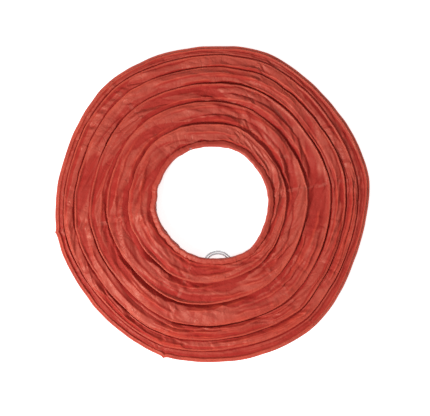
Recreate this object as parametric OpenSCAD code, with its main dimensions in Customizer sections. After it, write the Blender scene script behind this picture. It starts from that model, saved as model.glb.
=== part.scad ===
// Round paper lantern, folded flat, with its hanging bail tucked underneath.
//
// Frame: +Z up, origin on the table under the lantern's centre. The lower neck ring carries the
// bail. Every hoop above it lifts straight up when the lantern is opened into a globe.
//
// Hoops are numbered from the lower neck ring (0) to the upper neck ring (hoop_gaps). Paper band
// k spans the gap between hoops k - 1 and k, and is drawn folded against the larger of the two.

/* [Globe] */
// Outside diameter of the opened globe, over the paper
globe_d = 300; // [290:5:360]
// Diameter of the neck rings, to the middle of the wire
neck_d = 110; // [104:1:116]

/* [Hoops] */
// Thickness of a bamboo hoop
hoop_t = 1.4; // [1.2:0.1:1.5]
// Diameter of the neck ring wire
neck_wire_d = 2.2; // [2:0.1:2.4]
// Step between folded hoops above the widest one
fold_step = 1.1; // [0.9:0.05:1.3]
// Step from each hoop beside the widest one to the widest one
rim_step = 1.5; // [1.5:0.1:2]

/* [Paper] */
// Thickness of the paper skin
paper_t = 0.2; // [0.15:0.05:0.25]
// Room between the paper and what it wraps
wrap_gap = 0.05; // [0.04:0.01:0.06]

/* [Bail] */
// Diameter of the bail wire
bail_wire_d = 1.8; // [1.6:0.1:1.8]
// Radius of the bail's two arms
arm_r = 60; // [60:0.5:61]
// Distance from the pivot axis to the middle of the hanging eye
eye_reach = 59; // [58:0.5:60]
// Outside diameter of the hanging eye
eye_d = 31; // [28:0.5:31]

/* [Hidden] */
hoop_gaps = 14;
widest = hoop_gaps / 2;
lap_length = 24;
round_fn = 180;
// Paper is creased round what it wraps, so its section is twelve-sided
crease_fn = 12;

// The globe's hoops lie at equal steps of angle between the two necks
globe_r = globe_d / 2 - hoop_t / 2 - wrap_gap - paper_t;
neck_angle = asin(neck_d / 2 / globe_r);
hoop_step_angle = (180 - 2 * neck_angle) / hoop_gaps;
function hoop_r(i) = globe_r * sin(neck_angle + i * hoop_step_angle);

// Paper wrapped round a hoop: inner and outer radius of the wrap
wrap_in = hoop_t / 2 + wrap_gap;
wrap_out = wrap_in + paper_t;
hem_in = neck_wire_d / 2 + 2 * wrap_gap;
hem_out = hem_in + paper_t;
hem_flap = 1.7;
band_gap = 0.15;

// The folded lower half rests on the table at its outer hoops, and rises over the bail at its neck
neck_lift = 3.6;
lift_reach = 60;
function lift(r) = neck_lift * (1 - pow(min(1, (r - neck_d / 2) / lift_reach), 2));
function lower_z(i) = wrap_out + lift(hoop_r(i));
widest_z = lower_z(widest - 1) + rim_step;
function hoop_z(i) =
    i < widest ? lower_z(i)
    : i == widest ? widest_z
    : widest_z + rim_step + (i - widest - 1) * fold_step;

// Bail: two arms turn in clips on the lower neck ring, and carry a flat two-turn eye
clip_t = 0.9;
clip_hole_d = bail_wire_d + 0.2;
clip_r = clip_hole_d / 2 + 0.9;
clip_wall = 0.4;
clip_x = neck_d / 2 + 2.15;
clip_w = 2 * clip_r;
pivot_z = clip_r + 0.05;
pin_in = neck_d / 2 + 1.9;
pin_out = neck_d / 2 + 3.3;
arm_bend_r = arm_r - pin_out;
arm_centre_y = -arm_bend_r;
eye_turns = 2;
eye_pitch = bail_wire_d + 0.06;
eye_r_out = eye_d / 2;
eye_gap = 0.25;
bail_tilt = asin((pivot_z - bail_wire_d / 2 - 0.02) / (eye_reach + eye_r_out));
arm_eye_dist = eye_reach + arm_centre_y;
// Angle, seen from the arms' own centre, at which an arm meets the eye
arm_end_angle = acos((pow(arm_r, 2) + pow(arm_eye_dist, 2) - pow(eye_r_out + eye_gap, 2))
    / (2 * arm_r * arm_eye_dist));

function two_digits(i) = i < 10 ? str("0", i) : str(i);
function hoop_name(i) = str("hoop_", two_digits(i));
function band_name(k) = str("paper_band_", two_digits(k));

// Turns a section, drawn round a hoop's own centre, into a full ring at hoop i
module ring_at(i) {
    translate([0, 0, hoop_z(i)])
        rotate_extrude($fn = round_fn)
            translate([hoop_r(i), 0])
                children();
}

module neck_ring(i) {
    color("silver")
        ring_at(i)
            circle(d = neck_wire_d, $fn = 48);
}

// Paper folded over the inside of the neck wire, with a short flap above and below it
module hem_section() {
    difference() {
        union() {
            circle(r = hem_out, $fn = crease_fn);
            translate([0, -hem_out])
                square([hem_flap, 2 * hem_out]);
        }
        circle(r = hem_in, $fn = crease_fn);
        translate([0, -hem_in])
            square([hem_flap + 1, 2 * hem_in]);
    }
}

module hem(i) {
    color("indianred")
        ring_at(i)
            hem_section();
}

// Split bamboo hoop: eight-sided in section, its two ends lapped and glued on the inside
module hoop(i) {
    lap_angle = lap_length / hoop_r(i) * 180 / PI;
    lap_t = hoop_t / 2;
    color("burlywood")
        translate([0, 0, hoop_z(i)])
            union() {
                rotate_extrude($fn = round_fn)
                    translate([hoop_r(i), 0])
                        rotate(22.5)
                            circle(d = hoop_t, $fn = 8);
                rotate(i * 137)
                    rotate_extrude(angle = lap_angle, $fn = round_fn)
                        translate([hoop_r(i) - hoop_t / 2 - lap_t / 2, -lap_t / 2])
                            square([lap_t, lap_t]);
            }
}

// The part of the wrap outside a hoop, as far below and above the hoop's middle as it is told
module wrap_section(below, above) {
    intersection() {
        difference() {
            circle(r = wrap_out, $fn = crease_fn);
            circle(r = wrap_in, $fn = crease_fn);
        }
        translate([0, -below])
            square([wrap_out + 1, below + above]);
    }
}

// A folded band lies flat from its larger hoop to just short of the smaller one
module flat_section(width, side) {
    translate([-width, side > 0 ? wrap_in : -wrap_out])
        square([width, paper_t]);
}

// Free radial width of band k, between the wrap or hem of its smaller hoop and its larger hoop
function inner_edge(small) =
    small == 0 || small == hoop_gaps ? clip_x + clip_t + band_gap - hoop_r(0) : wrap_out + band_gap;
function band_width(small, large) = hoop_r(large) - hoop_r(small) - inner_edge(small);

module paper_band(k) {
    below_widest = k <= widest;
    large = below_widest ? k : k - 1;
    small = below_widest ? k - 1 : k;
    side = below_widest ? -1 : 1;
    half = large == widest;
    split = band_gap / 2;
    color("firebrick")
        ring_at(large)
            union() {
                wrap_section(half && side > 0 ? -split : wrap_out, half && side < 0 ? -split : wrap_out);
                flat_section(band_width(small, large), side);
            }
}

// Sheet-metal clip folded over the hemmed neck wire, with a hole for the bail's end
module bail_clip() {
    top = hoop_z(0) + hem_out + band_gap;
    inside = neck_d / 2 - hem_out - band_gap - clip_wall;
    color("lightgray")
        difference() {
            union() {
                translate([clip_x, 0, pivot_z])
                    rotate([0, 90, 0])
                        cylinder(r = clip_r, h = clip_t, $fn = 64);
                translate([clip_x, -clip_w / 2, pivot_z])
                    cube([clip_t, clip_w, top + clip_wall - pivot_z]);
                translate([inside, -clip_w / 2, top])
                    cube([clip_x + clip_t - inside, clip_w, clip_wall]);
                translate([inside, -clip_w / 2, hoop_z(0)])
                    cube([clip_wall, clip_w, top + clip_wall - hoop_z(0)]);
            }
            translate([clip_x - 1, 0, pivot_z])
                rotate([0, 90, 0])
                    cylinder(d = clip_hole_d, h = clip_t + 2, $fn = 64);
        }
}

// Lays the bail in its folded place: hinged at the clips, its eye down on the table
module bail_at_rest() {
    translate([0, 0, pivot_z])
        rotate([bail_tilt, 0, 0])
            children();
}

// Arm on the +X side: a pin through the clip, a bend, and an arc round to the eye
module bail_arm() {
    color("silver")
        union() {
            translate([pin_in, 0, 0])
                rotate([0, 90, 0])
                    cylinder(d = bail_wire_d, h = pin_out - pin_in, $fn = 64);
            translate([pin_out, arm_centre_y, 0])
                rotate_extrude(angle = 90, $fn = round_fn)
                    translate([arm_bend_r, 0])
                        circle(d = bail_wire_d, $fn = 64);
            translate([0, arm_centre_y, 0])
                mirror([0, 1, 0])
                    rotate_extrude(angle = 90 - arm_end_angle, $fn = round_fn)
                        translate([arm_r, 0])
                            circle(d = bail_wire_d, $fn = 64);
        }
}

// Flat spiral eye, swept as one tube of eight sides
eye_sides = 8;
eye_rings = 96;
function eye_turn_r(t) = eye_r_out - bail_wire_d / 2 - eye_pitch * t;
function eye_point(s, j) =
    let (
        t = eye_turns * s / eye_rings,
        across = bail_wire_d / 2 * cos(360 * j / eye_sides),
        up = bail_wire_d / 2 * sin(360 * j / eye_sides),
        r = eye_turn_r(t) + across
    ) [r * cos(360 * t - 90), r * sin(360 * t - 90), up];

module hanging_eye() {
    points = [for (s = [0:eye_rings], j = [0:eye_sides - 1]) eye_point(s, j)];
    walls = [for (s = [0:eye_rings - 1], j = [0:eye_sides - 1])
        let (a = s * eye_sides, b = a + eye_sides, n = (j + 1) % eye_sides)
        [a + j, a + n, b + n, b + j]];
    ends = [
        [for (j = [eye_sides - 1:-1:0]) j],
        [for (j = [0:eye_sides - 1]) eye_rings * eye_sides + j]
    ];
    color("silver")
        bail_at_rest()
            translate([0, -eye_reach, 0])
                polyhedron(points = points, faces = concat(walls, ends), convexity = 6);
}

neck_ring(0);  // neck_ring_lower
neck_ring(hoop_gaps);  // neck_ring_upper
hem(0);  // hem_lower
hem(hoop_gaps);  // hem_upper
for (i = [1:hoop_gaps - 1])
    hoop(i);
for (k = [1:hoop_gaps])
    paper_band(k);
bail_clip();  // bail_clip_right
mirror([1, 0, 0]) bail_clip();  // bail_clip_left
bail_at_rest() bail_arm();  // bail_arm_right
bail_at_rest() mirror([1, 0, 0]) bail_arm();  // bail_arm_left
hanging_eye();
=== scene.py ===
"""Round red paper lantern, folded flat, seen from straight above.

The bail's arms and clips keep the frame's own meshes. The rest is drawn here in place of the frame's
nodes: fourteen bands of crumpled paper folded over the hoops, a hem round each neck wire, the wires and
the bamboo hoops, and the hanging eye. Lengths are in millimetres while a shape is worked out, and become
metres when its mesh is made. A turn is once round the lantern from +X. Lists given here use degrees.
"""

import math

import bpy
import numpy as np
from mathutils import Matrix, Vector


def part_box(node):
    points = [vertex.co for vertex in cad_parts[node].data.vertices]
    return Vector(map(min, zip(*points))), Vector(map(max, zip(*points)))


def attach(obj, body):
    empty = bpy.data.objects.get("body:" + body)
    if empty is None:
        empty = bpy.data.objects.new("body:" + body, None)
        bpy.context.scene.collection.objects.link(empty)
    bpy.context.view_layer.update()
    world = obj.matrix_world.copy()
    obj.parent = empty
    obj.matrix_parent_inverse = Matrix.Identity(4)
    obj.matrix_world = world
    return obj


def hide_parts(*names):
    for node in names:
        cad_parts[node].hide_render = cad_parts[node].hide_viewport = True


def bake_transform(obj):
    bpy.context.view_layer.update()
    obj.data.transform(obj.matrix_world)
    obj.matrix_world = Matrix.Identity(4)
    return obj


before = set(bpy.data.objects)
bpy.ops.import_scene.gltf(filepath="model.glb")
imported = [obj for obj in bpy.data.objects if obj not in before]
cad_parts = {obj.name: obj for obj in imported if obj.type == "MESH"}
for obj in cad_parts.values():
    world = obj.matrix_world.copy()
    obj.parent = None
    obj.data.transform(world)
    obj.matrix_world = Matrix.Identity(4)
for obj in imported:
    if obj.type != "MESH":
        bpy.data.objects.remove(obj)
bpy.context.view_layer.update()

MM = 0.001
TAU = 2 * math.pi
HOOP_GAPS = sum(name.startswith("paper_band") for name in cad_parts)
WIDEST = HOOP_GAPS // 2

# Thickness of the paper, and the room between it and the bamboo or wire inside
PAPER_T = 0.15
WRAP_GAP = 0.18
HEM_GAP = 0.3
# Slack paper tucked in under a hoop: how far in it goes, and how high the tuck is
TUCK = 1.7
TUCK_GAP = 0.5

# Gore seams: how many, where the first one is, half the width of the lapped strip, and its edge
SEAMS = 6
SEAM_TURN = 5.4 / 360
SEAM_STRIP = 2.3
SEAM_EDGE = 0.5

# Grooves beside the hoops: the deepest one, the room left above the lower half, how far the bail's clips
# stand above the lower hem, and the depth of a groove in the lower half
DEEPEST = 3.6
CLEAR = 0.5
CLIP_RISE = 0.9
LOWER_GROOVE = 0.5
# Where the paper turns down beside the inner hoop, by band of the upper half, which the lower half
# mirrors: distance from that hoop, and how much that varies
KNEES = {14: (5.0, 3.4), 13: (4.2, 3.6), 12: (3.0, 2.6), 11: (1.6, 1.3), 10: (1.3, 0.9), 9: (1.1, 0.5)}

# How finely the meshes are cut: points across a band's open paper, and steps round the lantern
FIELD_POINTS = 28
UPPER_STEPS = 960
LOWER_STEPS = 480
RIM_STEPS = 1800
HOOP_STEPS = 360

# Layers of creased facets: size across the band, size round it, shift, and seed
SWAY_ROUND = (13, 19, 3, 100)
SWAY_ACROSS = (12, 17, 5, 120)
BIG_FACETS = (12, 26, 2, 140)
MIDDLE_FACETS = (5, 9, 4, 160)
SMALL_FACETS = (2.4, 4, 6, 180)
SEAM_PUCKERS = (3.2, 3.4, 1, 200)
# Heights of the creases, and how far the puckers reach from a seam
BIG_HEIGHT = 3.0
MIDDLE_HEIGHT = 1.1
SMALL_HEIGHT = 0.22
PLEAT_HEIGHT = 0.4
PUCKER_HEIGHT = 1.25
PUCKER_REACH = 6.5
STRIP_HEIGHT = 0.14
# Bands narrower than this are left smooth
LEAST_CREASED = 4
# Creases push the paper sideways by a share of their height. In the lower half they are kept low.
SIDEWAYS_SHARE = 0.35
LOWER_SHARE = 0.6
LOWER_CREASE = 1.2
# Room left by the creases of the lower half: over the table, and over the bail's arms
TABLE_ROOM = 0.25
ARM_ROOM = 0.2

# Painted highlight on the paper over a hoop: how soon it ends, how much is left beside the hoop and how far
# that reaches, and how strong the painted highlight on the crest of a fold is
HIGHLIGHT_EDGE = 0.5
HIGHLIGHT_BESIDE = 0.6
HIGHLIGHT_REACH = 2.6
CREST_HIGHLIGHT = 0.85

# How far a fold reaches on its gentle side, and the share of that on its steep side. Then half the width
# of its painted shade, at least, and of its painted highlight on the crest.
FOLD_REACH = 2.2
FOLD_STEEP = 0.4
SHADE_REACH = 0.6
CREST_REACH = 0.8
# Folds that chance draws on each band wider than this: how many, and where most of them start
STRAY_FOLDS = 18
STRAY_LEAST_WIDTH = 9
STRAY_MIDDLE = 285
STRAY_SPREAD = 85
# Folds put where the photo has them: band, start and end, share of the band at each, height
FOLDS = (
    (9, 0, 359, 0.16, 0.2, -0.9),
    (9, 160, 345, 0.42, 0.5, -0.8),
    (9, 30, 130, 0.5, 0.42, -0.7),
    (9, 190, 300, 0.68, 0.72, -0.6),
    (9, 255, 40, 0.1, 0.12, -1.2),
    (9, 275, 45, 0.34, 0.38, -1.1),
    (9, 300, 20, 0.6, 0.56, -0.8),
    (12, 15, 122, 0.72, 0.78, 1.3),
    (13, 15, 125, 0.12, 0.2, 0.9),
    (13, 126, 190, 0.3, 0.42, 1.2),
    (12, 200, 250, 0.3, 0.42, 1.3),
    (13, 195, 235, 0.35, 0.3, 1.0),
    (11, 262, 305, 0.8, 0.7, 1.2),
    (14, 60, 110, 0.5, 0.3, 1.0),
    (14, 150, 200, 0.35, 0.6, 1.1),
    (14, 300, 350, 0.6, 0.4, 1.2),
    (14, 185, 300, 0.86, 0.78, 0.9),
    (14, 215, 285, 0.7, 0.62, 0.8),
    (13, 290, 335, 0.6, 0.45, 1.1),
)

# How the hoops stray from circles, in shares of the radius: corners at the seams, and an oval that is
# longest at that turn. Kinks are a height.
HEX_SHARE = 0.0105
OVAL_SHARE = 0.008
OVAL_TURN = 90 / 360
KINK = 0.55
# The necks, on their wires, are less of a hexagon, wave a little, and are a little small
NECK_HEX = 0.8
NECK_WAVE = 0.5
NECK_SHRINK = 0.3
# Pointed tips of paper at two seams of the rim: place and height, and how far each reaches
TIPS = ((185.6, 1.6), (247.6, 2.4))
TIP_REACH = 2.2
# How each hoop lies in the folded pile: sideways slip, its direction, and shrink
SLIP = {
    9: (2.2, 145, 1.3),
    10: (2.2, 160, 1.6),
    11: (1.8, 180, 1.9),
    12: (5.2, 160, 3.5),
    13: (4.9, 160, 3.4),
}
# The hem: how far it lies off the wrapped paper, and how far its two edges reach out past the wire
HEM_OVER_WRAP = 0.22
HEM_OUTSIDE = 3.6
HEM_INSIDE = 1.6
# The tear in the upper hem: its place, half its width, and its depth
TEAR_PLACE = 107
TEAR_WIDTH = 1.1
TEAR_DEPTH = 1.7
# Where the necks and the rim lie off their circles: place, and how far outwards. Reaches are in turns.
NECK_LIE = ((50, 2.2), (92, 1.9), (138, 1.9), (216, -2.0), (255, -1.2), (304, 2.0))
NECK_REACH = 0.07
RIM_LIE = ((345, -2.0), (325, -1.2), (12, 1.0), (100, 0.9), (210, 1.2), (245, -1.0), (280, 0.8))
RIM_REACH = 0.05
# The lower neck lies a little wider under the tear
LOWER_NECK_LIE = (*NECK_LIE, (TEAR_PLACE, 1.0))


# ---------------------------------------------------------------- camera
def make_camera():
    """Looks straight down, rolled so that the hanging eye sits a little right of the middle."""
    roll = math.radians(-4.6)
    distance = 1.5374
    aim = (0.0024, -0.0036)
    data = bpy.data.cameras.new("camera")
    data.lens = 135.0
    data.sensor_width = 36.0
    data.dof.use_dof = False
    camera = bpy.data.objects.new("camera", data)
    bpy.context.scene.collection.objects.link(camera)
    camera.rotation_euler = (0, 0, roll)
    camera.location = (
        aim[0] * math.cos(roll) - aim[1] * math.sin(roll),
        aim[0] * math.sin(roll) + aim[1] * math.cos(roll),
        distance,
    )
    bpy.context.scene.camera = camera


make_camera()


# ---------------------------------------------------------------- noise
WANDER_ROWS = 24


def lattice_values(seed, rows, cols):
    return np.random.default_rng(seed).uniform(-1, 1, (rows, cols))


def facets(turn, across, cells, seed):
    """Noise between -1 and 1 with flat triangular facets and straight creases, periodic in turn."""
    cells = max(3, int(round(cells)))
    rows = int(np.ceil(across.max())) - int(np.floor(across.min())) + 2
    values = lattice_values(seed, rows + 1, cells)
    v = across - np.floor(across.min())
    u = turn * cells + 0.5 * v
    i, j = np.floor(u).astype(int), np.floor(v).astype(int)
    fu, fv = u - i, v - j
    h00 = values[j, i % cells]
    h10 = values[j, (i + 1) % cells]
    h01 = values[j + 1, i % cells]
    h11 = values[j + 1, (i + 1) % cells]
    near = h00 + fu * (h10 - h00) + fv * (h01 - h00)
    far = h11 + (1 - fu) * (h01 - h11) + (1 - fv) * (h10 - h11)
    return np.where(fu + fv < 1, near, far)


def wander(turn, cells, seed, level=0.0, sharp=False):
    """Noise round the lantern, between -1 and 1, that drifts slowly with level. Sharp noise has corners."""
    cells = max(3, int(round(cells)))
    values = lattice_values(seed, WANDER_ROWS, cells)
    j = int(np.floor(level)) % (WANDER_ROWS - 1)
    fj = level - np.floor(level)
    row = values[j] * (1 - fj) + values[j + 1] * fj
    u = np.asarray(turn) * cells
    i = np.floor(u).astype(int)
    f = u - i
    if not sharp:
        f = f * f * (3 - 2 * f)
    return row[i % cells] * (1 - f) + row[(i + 1) % cells] * f


def turns_from(turn, place):
    """Signed distance, in turns, from a place given in degrees."""
    return (turn - place / 360 + 0.5) % 1 - 0.5


def seam_distance(turn, radius):
    """Signed distance along the hoop, in millimetres, to the nearest gore seam."""
    phase = (turn - SEAM_TURN) * SEAMS
    return (phase - np.round(phase)) / SEAMS * TAU * radius


def seam_strip(turn, radius):
    """1 on the lapped strip along a seam, and 0 away from it."""
    return np.clip((SEAM_STRIP - np.abs(seam_distance(turn, radius))) / SEAM_EDGE, 0, 1)


# ---------------------------------------------------------------- hoops
def ring_name(i):
    return {0: "neck_ring_lower", HOOP_GAPS: "neck_ring_upper"}.get(i, f"hoop_{i:02d}")


def body_name(i):
    return {0: "lower_neck", HOOP_GAPS: "upper_neck"}.get(i, f"hoop_body_{i:02d}")


def is_neck(i):
    return i in (0, HOOP_GAPS)


def is_rim(i):
    return abs(i - WIDEST) <= 1


def read_ring(i):
    """(radius, height, half thickness) of hoop i, in millimetres."""
    lo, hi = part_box(ring_name(i))
    half = (hi.z - lo.z) / 2
    return ((hi.y - lo.y) / 2 - half) / MM, (hi.z + lo.z) / 2 / MM, half / MM


RINGS = [read_ring(i) for i in range(HOOP_GAPS + 1)]
ARM_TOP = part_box("bail_arm_left")[1].z / MM


def lie(turn, places, reach):
    """How far a hoop lies outwards at each turn, from a list of places and heights."""
    total = 0 * turn
    for place, out in places:
        total = total + out * np.exp(-((turns_from(turn, place) / reach) ** 2))
    return total


def ring_radius(i, turn):
    """The radius of hoop i as it really lies, round the lantern."""
    radius = RINGS[i][0]
    angle = TAU * turn
    corner = SEAMS / 2 * (angle - TAU * SEAM_TURN)
    # 0.27 brings the mean of the cusps back to none
    cusp = 1 - 2 * np.abs(np.sin(corner)) + 0.27
    hexagon = HEX_SHARE * radius * (0.6 * cusp + 0.5 * np.cos(2 * corner))
    oval = OVAL_SHARE * radius * np.cos(2 * (angle - TAU * OVAL_TURN))
    slip, way, shrink = SLIP.get(i, (0, 0, 0))
    sideways = slip * np.cos(angle - math.radians(way)) - shrink
    level = WIDEST if is_rim(i) else i
    kinks = KINK * wander(turn, 34, 5, 1.7 * level) + 0.7 * KINK * wander(turn, 80, 6, 2.3 * level)
    if is_rim(i):
        kinks = kinks + lie(turn, RIM_LIE, RIM_REACH)
        for place, tall in TIPS:
            away = turns_from(turn, place) * TAU * radius
            kinks = kinks + tall * np.exp(-np.abs(away) / TIP_REACH)
    if is_neck(i):
        hexagon = NECK_HEX * hexagon
        oval = NECK_WAVE * wander(turn, 7, 8, i) - NECK_SHRINK
        kinks = kinks + lie(turn, NECK_LIE if i == HOOP_GAPS else LOWER_NECK_LIE, NECK_REACH)
    return radius + hexagon + oval + sideways + kinks


def wrap_radius(i):
    return RINGS[i][2] + (HEM_GAP if is_neck(i) else WRAP_GAP) + PAPER_T / 2


# ---------------------------------------------------------------- meshes
def new_mesh(name, points, faces):
    mesh = bpy.data.meshes.new(name)
    mesh.from_pydata((np.asarray(points) * MM).tolist(), [], faces)
    mesh.polygons.foreach_set("use_smooth", [True] * len(mesh.polygons))
    mesh.update()
    obj = bpy.data.objects.new(name, mesh)
    bpy.context.scene.collection.objects.link(obj)
    return obj


def round_grid(name, radii, heights, turn, flip):
    """A band closed round the lantern from radii and heights, both (steps round, points across)."""
    around, across = radii.shape
    x = radii * np.cos(TAU * turn)[:, None]
    y = radii * np.sin(TAU * turn)[:, None]
    points = np.stack([x, y, heights], -1).reshape(-1, 3)
    a = np.arange(around)[:, None] * across + np.arange(across - 1)[None, :]
    b = (np.arange(around)[:, None] + 1) % around * across + np.arange(across - 1)[None, :]
    quads = np.stack([a, b, b + 1, a + 1], -1).reshape(-1, 4)
    if flip:
        quads = quads[:, ::-1]
    return new_mesh(name, points, quads.tolist())


def add_points(obj, name, values):
    layer = obj.data.attributes.new(name, "FLOAT", "POINT")
    layer.data.foreach_set("value", np.asarray(values, np.float32).ravel())


def thicken(obj):
    """Gives the paper its thickness, half on each side."""
    solid = obj.modifiers.new("thickness", "SOLIDIFY")
    solid.thickness = PAPER_T * MM
    solid.offset = 0


# A tube's domed end: the rings' shares of the radius, and how far out each lies in radii
DOME = ((0.7, 0.7), (0.0, 1.0))


def tube(points, radius, sides, closed):
    """(points, faces) of a round tube along a nearly level path. An open one gets domed ends."""
    points = np.asarray(points, float)
    n = len(points)
    if closed:
        ahead, behind = np.roll(points, -1, 0), np.roll(points, 1, 0)
    else:
        ahead = np.vstack([points[1:], points[-1:]])
        behind = np.vstack([points[:1], points[:-1]])
    along = ahead - behind
    along /= np.linalg.norm(along, axis=1)[:, None]
    side = np.cross(along, (0.0, 0.0, 1.0))
    side /= np.linalg.norm(side, axis=1)[:, None]
    top = np.cross(side, along)
    angles = TAU * np.arange(sides) / sides
    ring = side[:, None] * np.cos(angles)[None, :, None] + top[:, None] * np.sin(angles)[None, :, None]
    verts = (points[:, None] + radius * ring).reshape(-1, 3)
    faces = []
    for s in range(n if closed else n - 1):
        a, b = s * sides, (s + 1) % n * sides
        faces += [[a + j, a + (j + 1) % sides, b + (j + 1) % sides, b + j] for j in range(sides)]
    if closed:
        return verts, faces
    for end, way in ((0, -1), (n - 1, 1)):
        rim = list(range(end * sides, end * sides + sides))
        for share, reach in DOME:
            centre = points[end] + way * reach * radius * along[end]
            first = len(verts)
            if share:
                verts = np.vstack([verts, centre + share * radius * ring[end]])
                inner = list(range(first, first + sides))
            else:
                verts = np.vstack([verts, centre[None]])
                inner = [first] * sides
            for j in range(sides):
                k = (j + 1) % sides
                face = [rim[j], rim[k], inner[k], inner[j]]
                if way < 0:
                    face = [rim[k], rim[j], inner[j], inner[k]]
                faces.append(list(dict.fromkeys(face)))
            rim = inner
    return verts, faces


def join_parts(name, parts):
    points, faces = [], []
    for part_points, part_faces in parts:
        start = sum(len(p) for p in points)
        points.append(part_points)
        faces += [[start + v for v in face] for face in part_faces]
    return new_mesh(name, np.vstack(points), faces)


# ---------------------------------------------------------------- paper bands
def circle_arc(centre_r, centre_z, radius, first, last, count):
    """Points on a circle in the section plane, from one angle to another, in degrees."""
    share = np.linspace(0, 1, count)
    first, last = np.asarray(first)[..., None], np.asarray(last)[..., None]
    angles = np.radians(first * (1 - share) + last * share)
    radii = centre_r[:, None] + radius * np.cos(angles)
    return radii, centre_z + radius * np.sin(angles) + 0 * radii


def hermite(p0, t0, p1, t1, count):
    """Points on a smooth curve between two points, with its direction given at both."""
    s = np.linspace(0, 1, count)
    a, b = 2 * s**3 - 3 * s**2 + 1, s**3 - 2 * s**2 + s
    c, d = 3 * s**2 - 2 * s**3, s**3 - s**2
    return p0[:, None] * a + t0[:, None] * b + p1[:, None] * c + t1[:, None] * d


def stray_folds(band):
    """More folds like those in FOLDS, for one band: most of them in the lower right of the photo."""
    rng = np.random.default_rng(500 + band)
    folds = []
    for _ in range(STRAY_FOLDS):
        start = rng.normal(STRAY_MIDDLE, STRAY_SPREAD)
        length = rng.uniform(14, 62)
        share = rng.uniform(0.2, 0.85)
        drift = rng.uniform(-0.3, 0.3)
        tall = rng.uniform(0.7, 1.7) * rng.choice((1, 1, -1))
        folds.append((band, start, start + length, share, min(max(share + drift, 0.12), 0.92), tall))
    return folds


def fold_lines(band, turn, share, width):
    """Extra folds, each along a stretch of the band: their height, their painted shade and their painted
    highlight on the crests.
    """
    height = 0 * turn[:, None] * share
    shade, bright = height.copy(), height.copy()
    listed = [fold for fold in FOLDS if fold[0] == band]
    if width > STRAY_LEAST_WIDTH:
        listed += stray_folds(band)
    reach = min(FOLD_REACH, width / 5)
    steep = FOLD_STEEP * reach
    for _, start, end, share_start, share_end, tall in listed:
        along = ((turn * 360 - start) % 360) / ((end - start) % 360)
        inside = np.clip(np.minimum(along, 1 - along) * 6, 0, 1)[:, None]
        level = start % 360 / 40
        wave = 0.05 * wander(turn, 30, 71, level) + 0.03 * wander(turn, 75, 72, level)
        middle = share_start + (share_end - share_start) * np.clip(along, 0, 1) + wave
        away = (share - middle[:, None]) * width
        crest = np.where(away < 0, np.exp(away / reach), np.exp(-away / steep))
        height = height + tall * inside * crest
        # painted shade: a ridge has it beside it, and a groove has it in the middle
        lee = away - 0.5 * reach if tall > 0 else away
        dark = min(1, abs(tall)) * inside * np.exp(-((lee / max(steep, SHADE_REACH)) ** 2))
        shade = np.maximum(shade, dark)
        # a ridge also gets a painted highlight along its crest
        if tall > 0:
            lit = min(1, tall) * inside * np.exp(-((away / CREST_REACH) ** 2))
            bright = np.maximum(bright, lit)
    return height, shade, bright


def crease_layer(layer, turn, across, round_mm, band):
    """One of the layers of facets on a band."""
    deep, wide, shift, seed = layer
    return facets(turn, across / deep + shift, round_mm / wide, seed + band)


def pleats(turn, share, width, round_mm, band):
    """Waves that run across the band from both hoops, leaning one way and the other, and their reach."""
    lean = 0.5 * wander(turn, 26, 29, 1.9 * band)[:, None]
    leaning = turn[:, None] + lean * share * width / round_mm
    wave = wander(leaning, round_mm / 3.6, 33, 2.7 * band, sharp=True)
    wave = wave + 0.35 * wander(leaning, round_mm / 1.7, 34, 2.2 * band)
    reach = np.exp(-share * width / 6.0) + 0.8 * np.exp(-(1 - share) * width / 5.0) + 0.25
    return wave, reach


def crumple(turn, share, radius, width, band):
    """Height of the creases over a band, and the painted shade in its low facets and pleat troughs, from 0
    to 1.

    share runs from 0 at the outer hoop to 1 at the inner one.
    """
    round_mm = TAU * radius
    size = min(1.0, width / 16)
    narrow = min(1, width / 8)
    t = turn[:, None] + 0 * share
    across = share * width
    t = t + 2.5 / round_mm * crease_layer(SWAY_ROUND, t, across, round_mm, band)
    across = across + 1.8 * crease_layer(SWAY_ACROSS, t, across, round_mm, band)
    big = crease_layer(BIG_FACETS, t, across, round_mm, band)
    middle = crease_layer(MIDDLE_FACETS, t, across, round_mm, band)
    small = crease_layer(SMALL_FACETS, t, across, round_mm, band)
    mood = 0.8 + 0.5 * wander(turn, 9, 17, 1.3 * band)[:, None]
    height = size * mood * (BIG_HEIGHT * big + MIDDLE_HEIGHT * middle) + SMALL_HEIGHT * small * mood
    wave, reach = pleats(turn, share, width, round_mm, band)
    strength = 0.5 + 1.3 * np.clip(wander(turn, 21, 31, 2.1 * band) + 0.25, 0, 1)[:, None]
    height = height + PLEAT_HEIGHT * strength * wave * reach * narrow
    pucker = crease_layer(SEAM_PUCKERS, t, across, round_mm, band)
    near_seam = np.exp(-((seam_distance(t, radius) / PUCKER_REACH) ** 2))
    height = height + PUCKER_HEIGHT * pucker * near_seam * narrow
    # painted shade in the low facets and in the troughs of the pleats
    facet_shade = np.clip(-8.0 * big - 2.6, 0, 0.9) * size
    pleat_shade = np.clip(-1.6 * wave - 0.9, 0, 0.55) * np.clip(reach, 0, 1) * size
    return height + STRIP_HEIGHT * seam_strip(t, radius), np.maximum(facet_shade, pleat_shade)


def groove_depth(inner):
    """How far the fold outside hoop inner dips below its wrap, with room left above the lower half."""
    facing = RINGS[HOOP_GAPS - inner]
    top_below = facing[1] + wrap_radius(HOOP_GAPS - inner) + TUCK_GAP
    if is_neck(inner):
        top_below += CLIP_RISE
    return min(DEEPEST, RINGS[inner][1] - wrap_radius(inner) - top_below - CLEAR)


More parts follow.
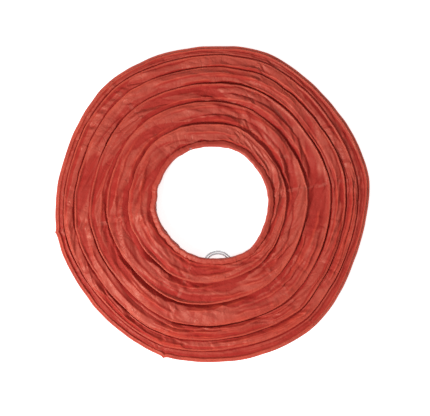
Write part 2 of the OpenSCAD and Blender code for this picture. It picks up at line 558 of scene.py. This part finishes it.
def dive_field(p0, p1, turn, count, width, band):
    """The open paper between two hoops: nearly level, and then down into the groove by the inner hoop.

    Gives radii, heights, the share of the way across, and painted shade, 0 to 1, where the paper turns down
    and in its valley.
    """
    share = 1 - (1 - np.linspace(0, 1, count)) ** 1.25
    round_mm = TAU * RINGS[band][0]
    # the knee, where the paper turns down, wanders along the band with corners of three sizes
    usual, varied = KNEES[max(band, HOOP_GAPS + 1 - band)]
    jagged = wander(turn, round_mm / 26, 51, 1.7 * band, sharp=True)
    jagged = jagged + 0.6 * wander(turn, round_mm / 9, 52, band, sharp=True)
    jagged = jagged + 0.3 * wander(turn, round_mm / 3.5, 56, band, sharp=True)
    knee = 1 - np.maximum(usual + varied * jagged, 0.8) / width
    knee = np.clip(knee, 0.3, 0.95)[:, None]
    level = np.minimum(share / knee, 1)
    fall = np.clip((share - knee) / (1 - knee), 0, 1)
    # between its ends the level part sinks a little and bulges a little
    sink = (0.35 + 0.25 * wander(turn, 12, 53, band)) * min(1, width / 10)
    bulge = (0.25 + 0.5 * wander(turn, 16, 54, band)) * min(1, width / 14)
    start, end = p0[1][:, None], p1[1][:, None]
    height = start - sink[:, None] * level + 4 * bulge[:, None] * level * (1 - level)
    height = height + (end - start + sink[:, None]) * fall
    # in places a valley runs along just inside the outer hoop
    reach = 9 * np.clip(wander(turn, 11, 55, 1.4 * band) + 0.1, 0, 1) + 1.6 * jagged
    reach = np.clip(reach, 0.1, 0.42 * width)[:, None]
    valley = np.clip(1 - share * width / reach, 0, 1)
    lip = np.clip(share * width / 1.1, 0, 1)
    height = height - 0.24 * reach * valley**0.7 * lip
    # painted shade where the paper turns down into the groove, and in the valley
    pocket_shade = np.maximum(np.clip(fall * 9, 0, 1), np.clip(valley * 7, 0, 1) * lip)
    radii = p0[0][:, None] + (p1[0] - p0[0])[:, None] * share
    return radii, height, share, pocket_shade


def taut_parts(a, b, run):
    """Round the rim, straight across to the next hoop, and over it: parts, shares and painted shade, which
    is none here.

    a and b are the outer and the inner hoop: radii round the lantern, height, and radius of the wrap.
    run is the usual distance between them along the radius.
    """
    (ra, za, wa), (rb, zb, wb) = a, b
    gap = math.hypot(run, za - zb)
    facing = math.degrees(math.atan2(zb - za, -run))
    leave = facing - math.degrees(math.acos(min(0.98, (wa + wb) / gap)))
    arrive = leave - 180
    la, aa = math.radians(leave), math.radians(arrive)
    flat = np.zeros_like(ra)
    p0 = (ra + wa * math.cos(la), flat + za + wa * math.sin(la))
    p1 = (rb + wb * math.cos(aa), flat + zb + wb * math.sin(aa))
    pull = 0.2 * np.hypot(p1[0] - p0[0], p1[1] - p0[1])
    count = 5
    radii = hermite(p0[0], -math.sin(la) * pull, p1[0], -math.sin(aa) * pull, count)
    heights = hermite(p0[1], math.cos(la) * pull, p1[1], math.cos(aa) * pull, count)
    start = circle_arc(ra, za, wa, 0, leave, 9)
    wrap = circle_arc(rb, zb, wb, arrive, 90, 11)
    parts = [start, (radii[:, 1:], heights[:, 1:]), (wrap[0][:, 1:], wrap[1][:, 1:])]
    return parts, np.linspace(0, 1, count), np.zeros((len(ra), count))


def tucked_parts(a, b, turn, width, band, depth, last):
    """Off the outer hoop, across, down and in under the inner hoop, and round it as far as last degrees.

    Takes the hoops as taut_parts does, and gives the same things.
    """
    (ra, za, wa), (rb, zb, wb) = a, b
    one = np.ones_like(turn)
    leave = 122 + 10 * wander(turn, 20, 57, band)
    start = circle_arc(ra, za, wa, 90 * one, leave, 4)
    depth = depth * np.clip(0.5 + 0.9 * wander(turn, 18, 58, band), 0.1, 1)
    mouth = 0.35 + 0.3 * wander(turn, 24, 59, 1.3 * band)
    low = zb - wb - depth
    p0 = (start[0][:, -1], start[1][:, -1])
    p1 = (rb + wb + mouth, low)
    count = FIELD_POINTS if width > 8 else FIELD_POINTS // 2
    radii, heights, share, pocket_shade = dive_field(p0, p1, turn, count, width, band)
    under = zb - wb - TUCK_GAP
    bottom = 0.5 * low + 0.5 * np.minimum(under, low + 0.4) - 0.15
    back_r = TUCK_GAP / 2
    parts = [
        start,
        (radii[:, 1:], heights[:, 1:]),
        ((rb + wb * 0.7)[:, None], bottom[:, None]),
        ((rb - 0.5 * TUCK)[:, None], (0.7 * under + 0.3 * low)[:, None]),
        circle_arc(rb - TUCK, under + back_r, back_r, -90, -270, 5),
        ((rb - TUCK * 0.4)[:, None], (under + TUCK_GAP) * one[:, None]),
        circle_arc(rb, zb, wb, -90, last, 11),
    ]
    return parts, share, pocket_shade


def band_section(band, turn):
    """A band's folded section all round: radii, heights, share of the field, share of the opening, painted
    shade.

    The share of the field is -1 off the open paper. The share of the opening is 0 where the paper is glued
    to the outer hoop and 1 at the inner one. The section is worked out as if the outside of the lantern
    faced up, then flipped below the rim.
    """
    outer, inner, sign = edges_of(band)
    a, b = ((ring_radius(i, turn), sign * RINGS[i][1], wrap_radius(i)) for i in (outer, inner))
    width = RINGS[outer][0] - RINGS[inner][0]
    if outer == WIDEST:
        parts, field_share, pocket_shade = taut_parts(a, b, width)
    else:
        depth = groove_depth(inner) if sign > 0 else LOWER_GROOVE
        last = 100 if is_neck(inner) else 90
        parts, field_share, pocket_shade = tucked_parts(a, b, turn, width, band, depth, last)
    radii = np.hstack([p[0] for p in parts])
    heights = np.hstack([p[1] for p in parts])
    first = parts[0][0].shape[1]
    share = np.full(radii.shape[1], -1.0)
    share[first - 1 : first - 1 + len(field_share)] = field_share
    steps = np.hypot(np.diff(radii.mean(0)), np.diff(heights.mean(0)))
    arc = np.concatenate([[0], np.cumsum(steps)])
    leaves, returns = arc[first - 1], arc[-parts[-1][0].shape[1]]
    opening = np.clip((arc - leaves) / (returns - leaves), 0, 1)
    return radii, heights * sign, share, opening, pocket_shade


def edges_of(band):
    """A band's outer hoop and inner hoop, and the way its outside faces: 1 up, -1 down."""
    return (band - 1, band, 1) if band > WIDEST else (band, band - 1, -1)


def crease_field(band, turn, radii, heights, share, pocket_shade):
    """Puts the creases and folds on a band's open paper, in place. Gives its painted shade and the painted
    highlight on its fold crests.
    """
    outer, inner, sign = edges_of(band)
    width = RINGS[outer][0] - RINGS[inner][0]
    radius = (RINGS[outer][0] + RINGS[inner][0]) / 2
    field = share >= 0
    s = np.broadcast_to(share[field], (len(turn), field.sum()))
    fade = np.sin(np.pi * s) ** 0.5
    creases, crumple_shade = crumple(turn, s, radius, width, band)
    folds, shade, bright = fold_lines(band, turn, share[field], width)
    creases = creases * fade + folds
    # painted shade from the low facets, pleat troughs and folds joins that of the dive
    pocket_shade = np.maximum(pocket_shade, crumple_shade * np.clip(1.5 * fade - 0.3, 0, 1))
    pocket_shade = np.maximum(pocket_shade, shade)
    if sign > 0:
        lowest = RINGS[inner][1] - wrap_radius(inner) - groove_depth(inner)
        heights[:, field] = np.maximum(heights[:, field] + creases, lowest)
    else:
        lowest = ARM_TOP + ARM_ROOM if is_neck(inner) else TABLE_ROOM
        lowered = LOWER_SHARE * np.clip(creases, -LOWER_CREASE, LOWER_CREASE)
        heights[:, field] = np.maximum(heights[:, field] - lowered, lowest)
    radii[:, field] += SIDEWAYS_SHARE * creases
    return pocket_shade, bright


def highlight_over_hoops(band, turn, radii, heights):
    """Painted highlight: 1 where a band passes over a hoop, 0 away from it, and a part of that just beside
    it.
    """
    outer, inner, sign = edges_of(band)
    highlight = 0 * radii
    for i in (outer, inner):
        across = radii - ring_radius(i, turn)[:, None]
        above = (heights - RINGS[i][1]) * sign
        gap = np.hypot(across, above) - wrap_radius(i)
        beside = HIGHLIGHT_BESIDE * np.exp(-((gap / HIGHLIGHT_REACH) ** 2))
        near = np.maximum(np.clip(1 - gap / HIGHLIGHT_EDGE, 0, 1), beside)
        highlight = np.maximum(highlight, near * np.clip(above / wrap_radius(i), 0, 1) ** 2)
    return highlight


def paper_band(band):
    """One band of the skin, between its two hoops."""
    outer, inner, sign = edges_of(band)
    steps = UPPER_STEPS if sign > 0 else LOWER_STEPS
    if band in (WIDEST, WIDEST + 1):
        steps = RIM_STEPS
    turn = np.arange(steps) / steps
    radii, heights, share, opening, pocket_shade = band_section(band, turn)
    bright = 0 * pocket_shade
    if RINGS[outer][0] - RINGS[inner][0] > LEAST_CREASED:
        pocket_shade, bright = crease_field(band, turn, radii, heights, share, pocket_shade)
    obj = round_grid(f"skin_band_{band:02d}", radii, heights, turn, flip=sign < 0)
    field = share >= 0
    # painted highlight over the hoops and on the crests of folds
    highlight = highlight_over_hoops(band, turn, radii, heights)
    highlight[:, field] = np.maximum(highlight[:, field], CREST_HIGHLIGHT * bright)
    # painted shade on the open paper, none elsewhere
    pocket_shades = 0 * radii
    pocket_shades[:, field] = pocket_shade
    add_points(obj, "seam", seam_strip(turn, RINGS[outer][0])[:, None] + 0 * radii)
    add_points(obj, "hoop_highlight", highlight)
    add_points(obj, "pocket_shade", pocket_shades)
    thicken(obj)
    obj.data.materials.append(PAPER)
    z_low, z_high = RINGS[band - 1][1] * MM, RINGS[band][1] * MM
    # some hoops of the lower half lie level, so the upper height is set a millimetre above the lower one;
    # neither height is used further
    if abs(z_high - z_low) < 0.1 * MM:
        z_high = z_low + MM
    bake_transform(obj)
    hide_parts(f"paper_band_{band:02d}")


def hem(i):
    """The strip folded over a neck wire, with a ragged cut edge. The upper one has a small tear."""
    sign = 1 if i == HOOP_GAPS else -1
    turn = np.arange(UPPER_STEPS) / UPPER_STEPS
    radius, z = ring_radius(i, turn), sign * RINGS[i][1]
    # the hem goes over the paper that is already wrapped round the wire
    wrap = wrap_radius(i) + HEM_OVER_WRAP
    ragged = 0.35 * wander(turn, 160, 41, i) + 0.25 * wander(turn, 60, 42, i)
    over = circle_arc(radius, z, wrap, 62, 270, 20)
    outer_r = (radius + HEM_OUTSIDE + ragged)[:, None]
    outer_z = (z + 0.2 + 0.3 * wander(turn, 26, 45, i))[:, None]
    steps = np.linspace(0, 1, 5)[:-1]
    down_r = outer_r + (over[0][:, :1] - outer_r) * steps
    down_z = outer_z + (over[1][:, :1] - outer_z) * steps**0.8
    end_r = (radius + HEM_INSIDE + ragged)[:, None]
    end_z = np.full_like(end_r, z - wrap + 0.05)
    puckers = 0.12 * wander(turn, 210, 43, i) + 0.14 * wander(turn, 90, 44, i)
    puckers = (puckers + 0.2 * wander(turn, 34, 46, i))[:, None]
    radii = np.hstack([down_r, over[0], end_r]) + puckers
    heights = np.hstack([down_z, over[1], end_z]) + 0.8 * puckers
    if sign > 0:
        away = turns_from(turn, TEAR_PLACE) * TAU * RINGS[i][0]
        tear = np.exp(-((away / TEAR_WIDTH) ** 2))[:, None]
        inside = np.clip((radius[:, None] - radii) / wrap, 0, 1)
        radii = radii + TEAR_DEPTH * tear * inside
    name = f"hem_strip_{'upper' if sign > 0 else 'lower'}"
    obj = round_grid(name, radii, heights * sign, turn, flip=sign < 0)
    add_points(obj, "seam", seam_strip(turn, RINGS[i][0])[:, None] + 0 * radii)
    thicken(obj)
    obj.data.materials.append(HEM)
    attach(obj, body_name(i))
    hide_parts("hem_upper" if sign > 0 else "hem_lower")


# ---------------------------------------------------------------- hoops and wires
def hoop_path(i, turns, inset=0.0):
    radius = ring_radius(i, turns) - inset
    z = np.full(len(turns), RINGS[i][1])
    return np.stack([radius * np.cos(TAU * turns), radius * np.sin(TAU * turns), z], -1)


def bamboo_hoop(i):
    """A split-bamboo hoop and its glued lap. The laps step round the lantern from hoop to hoop."""
    lap_length, lap_step = 24, 137
    thick = RINGS[i][2]
    start = (i * lap_step % 360) / 360
    lap = lap_length / (TAU * RINGS[i][0])
    steps = UPPER_STEPS if is_rim(i) else HOOP_STEPS
    ring = tube(hoop_path(i, np.arange(steps) / steps), thick, 10, closed=True)
    tail_path = hoop_path(i, start + np.linspace(0, lap, 30), 1.2 * thick) - (0, 0, 0.6 * thick)
    tail = tube(tail_path, 0.45 * thick, 8, closed=False)
    obj = join_parts(f"bamboo_{i:02d}", [ring, tail])
    obj.data.materials.append(BAMBOO)
    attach(obj, body_name(i))
    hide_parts(ring_name(i))


def neck_wire(i):
    path = hoop_path(i, np.arange(HOOP_STEPS) / HOOP_STEPS)
    name = f"neck_wire_{'upper' if i else 'lower'}"
    obj = join_parts(name, [tube(path, RINGS[i][2], 14, closed=True)])
    obj.data.materials.append(WIRE)
    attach(obj, body_name(i))
    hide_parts(ring_name(i))


# ---------------------------------------------------------------- materials
class Shader:
    """A node material built up step by step."""

    def __init__(self, name, **settings):
        self.material = bpy.data.materials.new(name)
        self.material.use_nodes = True
        self.tree = self.material.node_tree
        self.bsdf = self.tree.nodes["Principled BSDF"]
        self.coords = self.tree.nodes.new("ShaderNodeTexCoord").outputs["Object"]
        for socket, value in settings.items():
            self.bsdf.inputs[socket.replace("_", " ")].default_value = value

    def node(self, kind, inputs=(), **settings):
        made = self.tree.nodes.new("ShaderNode" + kind)
        for key, value in settings.items():
            setattr(made, key, value)
        for key, value in dict(inputs).items():
            if isinstance(value, bpy.types.NodeSocket):
                self.tree.links.new(value, made.inputs[key])
            else:
                made.inputs[key].default_value = value
        return made

    def noise(self, scale, detail=4, rough=0.55, vector=None):
        inputs = {"Vector": vector or self.coords, "Scale": scale, "Detail": detail, "Roughness": rough}
        return self.node("TexNoise", inputs).outputs["Fac"]

    def stretch(self, scale):
        return self.node("Mapping", {"Vector": self.coords, "Scale": scale}).outputs["Vector"]

    def spread(self, value, low, high, out_low=0.0, out_high=1.0):
        inputs = {"Value": value, "From Min": low, "From Max": high, "To Min": out_low, "To Max": out_high}
        return self.node("MapRange", inputs).outputs["Result"]

    def mix(self, factor, a, b, mode="MIX"):
        made = self.node("Mix", data_type="RGBA", blend_type=mode)
        for socket, value in zip((made.inputs[0], made.inputs[6], made.inputs[7]), (factor, a, b)):
            if isinstance(value, bpy.types.NodeSocket):
                self.tree.links.new(value, socket)
            elif isinstance(value, (int, float)):
                socket.default_value = value
            else:
                socket.default_value = (*value, 1)
        return made.outputs[2]

    def maths(self, operation, a, b=0.0):
        return self.node("Math", {0: a, 1: b}, operation=operation).outputs[0]

    def bump(self, height, strength, distance, normal=None):
        inputs = {"Height": height, "Strength": strength, "Distance": distance}
        if normal is not None:
            inputs["Normal"] = normal
        return self.node("Bump", inputs).outputs["Normal"]

    def link(self, value, socket):
        self.tree.links.new(value, self.bsdf.inputs[socket])


def crack_lines(sh, cell_mm, width_mm):
    """0 along a network of fine creases with cells of that size, and 1 away from them."""
    drift = sh.node("TexNoise", {"Vector": sh.coords, "Scale": 90.0, "Detail": 3.0}).outputs["Color"]
    shift = sh.node("VectorMath", {0: drift, "Scale": 0.35 * cell_mm * MM}, operation="SCALE").outputs[0]
    bent = sh.node("VectorMath", {0: sh.coords, 1: shift}, operation="ADD").outputs[0]
    inputs = {"Vector": bent, "Scale": 1 / (cell_mm * MM), "Randomness": 1.0}
    edges = sh.node("TexVoronoi", inputs, feature="DISTANCE_TO_EDGE").outputs["Distance"]
    return sh.spread(edges, 0.0, width_mm / cell_mm)


def paper_material(name, deep, fresh, faded, highlight_colour):
    """Dyed tissue: cloudy dye, fine fibres, creases with painted shade, painted shade by the folds, a
    painted highlight over the hoops, a rubbed pale bloom in places, and a few specks.
    """
    sh = Shader(name, IOR=1.45)
    sh.bsdf.inputs["Specular Tint"].default_value = (1.0, 0.84, 0.62, 1.0)
    # cloudy dye, and fine fibres
    cloud = sh.noise(38, 5, 0.6)
    colour = sh.mix(sh.spread(cloud, 0.32, 0.7), deep, fresh)
    fibres = sh.noise(900, 3, 0.7, sh.stretch((1.0, 0.3, 1.0)))
    colour = sh.mix(sh.spread(fibres, 0.45, 0.8, 0, 0.16), colour, faded)
    # creases, in patches, darkened with painted shade
    wide_creases, fine_creases = crack_lines(sh, 11, 0.8), crack_lines(sh, 4.5, 0.5)
    creased = sh.spread(sh.noise(45, 3), 0.38, 0.58)
    crease_shade = sh.maths("MULTIPLY", sh.maths("SUBTRACT", 1.0, wide_creases), creased)
    colour = sh.mix(sh.maths("MULTIPLY", crease_shade, 0.22), colour, tuple(0.6 * c for c in deep))
    # painted shade, deep red and less glossy, beside the folds and where the paper dives; pale on the
    # seams; painted highlight over the hoops
    pocket_shade = sh.node("Attribute", attribute_name="pocket_shade").outputs["Fac"]
    # the deep red that paints shade beside the folds
    colour = sh.mix(sh.maths("MULTIPLY", pocket_shade, 0.62), colour, (0.33, 0.016, 0.015))
    sh.link(sh.spread(pocket_shade, 0, 1, 0.6, 0.12), "Specular IOR Level")
    seam = sh.node("Attribute", attribute_name="seam").outputs["Fac"]
    patchy = sh.maths("MULTIPLY", seam, sh.spread(sh.noise(150, 3), 0.48, 0.72, 0.0, 0.5))
    colour = sh.mix(patchy, colour, faded)
    # painted highlight over the hoops and on fold crests, in patches
    hoop_highlight = sh.node("Attribute", attribute_name="hoop_highlight").outputs["Fac"]
    patchy_highlight = sh.maths("MULTIPLY", hoop_highlight, sh.spread(sh.noise(70, 3), 0.35, 0.65, 0.15, 0.9))
    colour = sh.mix(patchy_highlight, colour, highlight_colour)
    # rubbed bloom, and a few pale specks
    rubbed = sh.spread(sh.noise(120, 6, 0.75), 0.6, 0.78, 0, 0.2)
    colour = sh.mix(rubbed, colour, faded)
    cells = sh.node("TexVoronoi", {"Vector": sh.coords, "Scale": 62.0}).outputs["Distance"]
    specks = sh.maths("MULTIPLY", sh.spread(cells, 0.035, 0.02), sh.spread(sh.noise(45, 2), 0.62, 0.66))
    colour = sh.mix(specks, colour, (0.62, 0.36, 0.3))
    sh.link(colour, "Base Color")
    sh.link(sh.spread(sh.noise(200, 4), 0.3, 0.7, 0.42, 0.58), "Roughness")
    grain = sh.bump(sh.noise(1500, 4, 0.7), 0.25, 0.0002)
    soft = sh.bump(sh.noise(260, 5, 0.7), 0.35, 0.0006, grain)
    fine = sh.bump(sh.maths("MULTIPLY", fine_creases, creased), 0.4, 0.0002, soft)
    sh.link(sh.bump(sh.maths("MULTIPLY", wide_creases, creased), 0.45, 0.0003, fine), "Normal")
    return sh.material


def bamboo_material():
    sh = Shader("bamboo", Roughness=0.6)
    streaks = sh.noise(700, 4, 0.6, sh.stretch((1, 1, 4)))
    colour = sh.mix(sh.spread(streaks, 0.3, 0.7), (0.42, 0.26, 0.12), (0.66, 0.48, 0.27))
    colour = sh.mix(sh.spread(sh.noise(60, 3), 0.6, 0.7, 0, 0.5), colour, (0.3, 0.17, 0.08))
    sh.link(colour, "Base Color")
    sh.link(sh.bump(streaks, 0.4, 0.0002), "Normal")
    return sh.material


def metal_material(name, tone, roughness, brushed):
    """Bright drawn or pressed steel with faint die lines and a little dullness."""
    sh = Shader(name, Metallic=1.0)
    dull = sh.noise(180, 5, 0.65)
    sh.link(sh.mix(sh.spread(dull, 0.35, 0.7), tone, tuple(0.72 * c for c in tone)), "Base Color")
    sh.link(sh.spread(dull, 0.3, 0.75, roughness * 0.8, roughness * 1.6), "Roughness")
    lines = sh.noise(2200, 2, 0.5, sh.stretch((1, 0.15, 1) if brushed else (0.4, 0.4, 1)))
    sh.link(sh.bump(lines, 0.2, 0.00008), "Normal")
    return sh.material


PAPER = paper_material(
    "red_paper",
    deep=(0.4, 0.031, 0.021),
    fresh=(0.455, 0.051, 0.032),
    faded=(0.55, 0.145, 0.105),
    # colour of the painted highlight over the hoops
    highlight_colour=(0.6, 0.072, 0.04),
)
HEM = paper_material(
    "red_hem",
    deep=(0.4, 0.031, 0.021),
    fresh=(0.49, 0.053, 0.033),
    faded=(0.57, 0.15, 0.11),
    # colour of the painted highlight over the hoops
    highlight_colour=(0.6, 0.072, 0.04),
)
BAMBOO = bamboo_material()
WIRE = metal_material("bright_wire", (0.62, 0.63, 0.65), 0.22, brushed=False)
CLIP = metal_material("pressed_clip", (0.5, 0.51, 0.53), 0.34, brushed=True)


# ---------------------------------------------------------------- bail
def dress(node, material):
    """Puts a material on a node of the frame, and leaves its mesh as it is."""
    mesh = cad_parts[node].data
    mesh.materials.clear()
    mesh.materials.append(material)


def hanging_eye():
    """The flat two-turn eye, as a smooth wire. It is drawn a little thinner, wider and more open."""
    lo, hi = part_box("hanging_eye")
    wire_r, frame_wire_r = 0.75, 0.9
    wider = 1.2
    pitch = 2 * wire_r + 0.7
    centre_y = (hi.y + lo.y) / 2 / MM
    outer = (hi.y - lo.y) / 2 / MM + wider
    turns = np.linspace(0, 2, 160)
    radius = outer - wire_r - pitch * turns
    angle = TAU * (turns - 0.25)
    x, y = radius * np.cos(angle), centre_y + radius * np.sin(angle)
    slope = (hi.z - lo.z - 2 * wire_r * MM) / (hi.y - lo.y - 2 * wire_r * MM)
    z = (lo.z / MM + frame_wire_r) + slope * (y - (lo.y / MM + frame_wire_r))
    obj = join_parts("eye_wire", [tube(np.stack([x, y, z], -1), wire_r, 14, closed=False)])
    obj.data.materials.append(WIRE)
    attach(obj, "bail")
    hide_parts("hanging_eye")


# ---------------------------------------------------------------- stage
def make_floor():
    """A wide pale sheet, just under the table height, with a little light of its own."""
    half, drop = 3, 0.0002
    corners = [(-half, -half, 0), (half, -half, 0), (half, half, 0), (-half, half, 0)]
    mesh = bpy.data.meshes.new("floor")
    mesh.from_pydata(corners, [], [(0, 1, 2, 3)])
    floor = bpy.data.objects.new("floor", mesh)
    floor.location.z = -drop
    bpy.context.scene.collection.objects.link(floor)
    sh = Shader("floor_paper", Roughness=0.9, Specular_IOR_Level=0.1)
    sh.link(sh.mix(sh.noise(30, 3), (0.94, 0.94, 0.94), (0.96, 0.96, 0.96)), "Base Color")
    sh.bsdf.inputs["Emission Color"].default_value = (1, 1, 1, 1)
    sh.bsdf.inputs["Emission Strength"].default_value = 0.6
    mesh.materials.append(sh.material)


def make_softbox(name, place, size, power):
    """A round area light that faces the middle of the lantern."""
    data = bpy.data.lights.new(name, "AREA")
    data.shape = "DISK"
    data.size = size
    data.energy = power
    light = bpy.data.objects.new(name, data)
    bpy.context.scene.collection.objects.link(light)
    light.location = place
    light.rotation_euler = (-light.location).to_track_quat("-Z", "Y").to_euler()


def make_lights():
    """A pale even surround, a soft light from above, and the key light low from the lower left."""
    world = bpy.data.worlds.new("studio")
    bpy.context.scene.world = world
    world.use_nodes = True
    surround = world.node_tree.nodes["Background"]
    surround.inputs["Color"].default_value = (1, 1, 1, 1)
    surround.inputs["Strength"].default_value = 0.27
    make_softbox("top_softbox", (0.1, 0.15, 1.9), size=1.1, power=8.0)
    make_softbox("key_softbox", (-0.8, -0.57, 0.88), size=0.5, power=17.5)
    bpy.context.scene.view_settings.view_transform = "Standard"


for band in range(1, HOOP_GAPS + 1):
    paper_band(band)
for end in (0, HOOP_GAPS):
    hem(end)
    neck_wire(end)
for hoop in range(1, HOOP_GAPS):
    bamboo_hoop(hoop)
hanging_eye()
for node in ("bail_arm_left", "bail_arm_right"):
    dress(node, WIRE)
for node in ("bail_clip_left", "bail_clip_right"):
    dress(node, CLIP)
make_floor()
make_lights()
